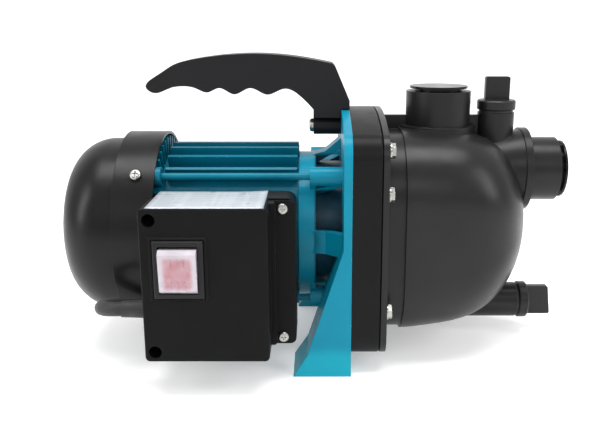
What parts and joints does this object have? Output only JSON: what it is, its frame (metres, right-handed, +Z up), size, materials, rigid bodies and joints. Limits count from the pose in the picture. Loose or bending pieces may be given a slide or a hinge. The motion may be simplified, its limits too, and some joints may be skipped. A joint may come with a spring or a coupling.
{
  "type": "self-priming jet pump",
  "caption": "Portable self-priming water pump: finned electric motor with fan hood and switch box, footed bracket, plastic jet pump casing with ports and plugs, carry handle and mains lead.",
  "frame": {"origin": "on the floor, midway between the two foot holes and 85 mm below the motor shaft", "axes": "+Z up; +X along the shaft from the motor towards the pump casing and its inlet; the switch box faces -Y"},
  "size_m": [0.3626, 0.3343, 0.209],
  "materials": {
    "teal_housing": "satin enamel on cast aluminium",
    "teal_bracket": "satin enamel on cast aluminium",
    "teal_bolts": "satin enamel over steel",
    "hood_black": "satin moulded",
    "zinc_screws": "zinc plated",
    "lamination": "dull sheet stack",
    "copper_winding": "varnished copper",
    "shaft_steel": "ground",
    "bearing_steel": "polished",
    "fan_plastic": "moulded",
    "seal_rubber": "dull",
    "seal_ceramic": "lapped",
    "seal_carbon": "lapped",
    "cover_plastic": "satin moulded",
    "wet_plastic": "moulded",
    "casing_plastic": "fine satin moulded",
    "cap_plastic": "moulded",
    "plug_plastic": "moulded",
    "handle_plastic": "satin moulded",
    "box_plastic": "fine grained",
    "label_film": "satin film",
    "switch_plastic": "satin",
    "rocker_clear": "milky, lightly translucent",
    "capacitor_can": "moulded",
    "terminal_plastic": "moulded",
    "cord_rubber": "dull rubber sheath",
    "plug_rubber": "dull moulded",
    "pin_nickel": "nickel plated"
  },
  "bodies": {
    "pump": {"back_cover": "cover_plastic", "bearing_balls": "bearing_steel", "bearing_outer_rings": "bearing_steel", "box_base": "box_plastic", "box_cover": "box_plastic", "box_screws": "zinc_screws", "carry_handle": "handle_plastic", "casing_bolts": "zinc_screws", "cord_coil": "cord_rubber", "cord_tube": "cord_rubber", "fan_cover": "hood_black", "fan_cover_screws": "zinc_screws", "front_bracket": "teal_bracket", "guide_wheel": "wet_plastic", "handle_screw": "zinc_screws", "jet_nozzle": "wet_plastic", "motor_housing": "teal_housing", "plug_body": "plug_rubber", "plug_pins": "pin_nickel", "pump_casing": "casing_plastic", "rating_label": "label_film", "rear_shield": "teal_housing", "rocker_pin": "bearing_steel", "run_capacitor": "capacitor_can", "seal_seat": "seal_ceramic", "stator_core": "lamination", "stator_windings": "copper_winding", "strain_relief": "cord_rubber", "switch_body": "switch_plastic", "terminal_block": "terminal_plastic", "tie_bolts": "teal_bolts", "venturi_tube": "wet_plastic"},
    "rotor": {"rotor_shaft": "shaft_steel", "rotor_core": "lamination", "cooling_fan": "fan_plastic", "fan_clip": "bearing_steel", "bearing_inner_rings": "bearing_steel", "water_slinger": "seal_rubber", "seal_face": "seal_carbon", "seal_spring": "bearing_steel", "impeller": "wet_plastic", "impeller_nut": "shaft_steel"},
    "rocker": {"switch_rocker": "rocker_clear"},
    "outlet_cap": {"discharge_cap": "cap_plastic"},
    "inlet_cap": {"suction_cap": "cap_plastic"},
    "fill_closure": {"fill_washer": "seal_rubber", "fill_plug": "plug_plastic"},
    "drain_closure": {"drain_washer": "seal_rubber", "drain_plug": "plug_plastic"}
  },
  "joints": [
    {"name": "rotor_spin", "type": "hinge", "parent": "pump", "child": "rotor", "pos_m": [0, 0, 0.085], "axis": [1, 0, 0], "continuous": true},
    {"name": "switch_rock", "type": "hinge", "parent": "pump", "child": "rocker", "pos_m": [-0.086, -0.109, 0.085], "axis": [-1, 0, 0], "range_deg": [0, 10]},
    {"name": "outlet_cap_pull", "type": "slide", "parent": "pump", "child": "outlet_cap", "axis": [0, 0, 1], "range_m": [0, 0.045]},
    {"name": "inlet_cap_pull", "type": "slide", "parent": "pump", "child": "inlet_cap", "axis": [1, 0, 0], "range_m": [0, 0.045]},
    {"name": "fill_plug_lift", "type": "slide", "parent": "pump", "child": "fill_closure", "axis": [0, 0, 1], "range_m": [0, 0.03]},
    {"name": "drain_plug_pull", "type": "slide", "parent": "pump", "child": "drain_closure", "axis": [1, 0, 0], "range_m": [0, 0.03]}
  ]
}
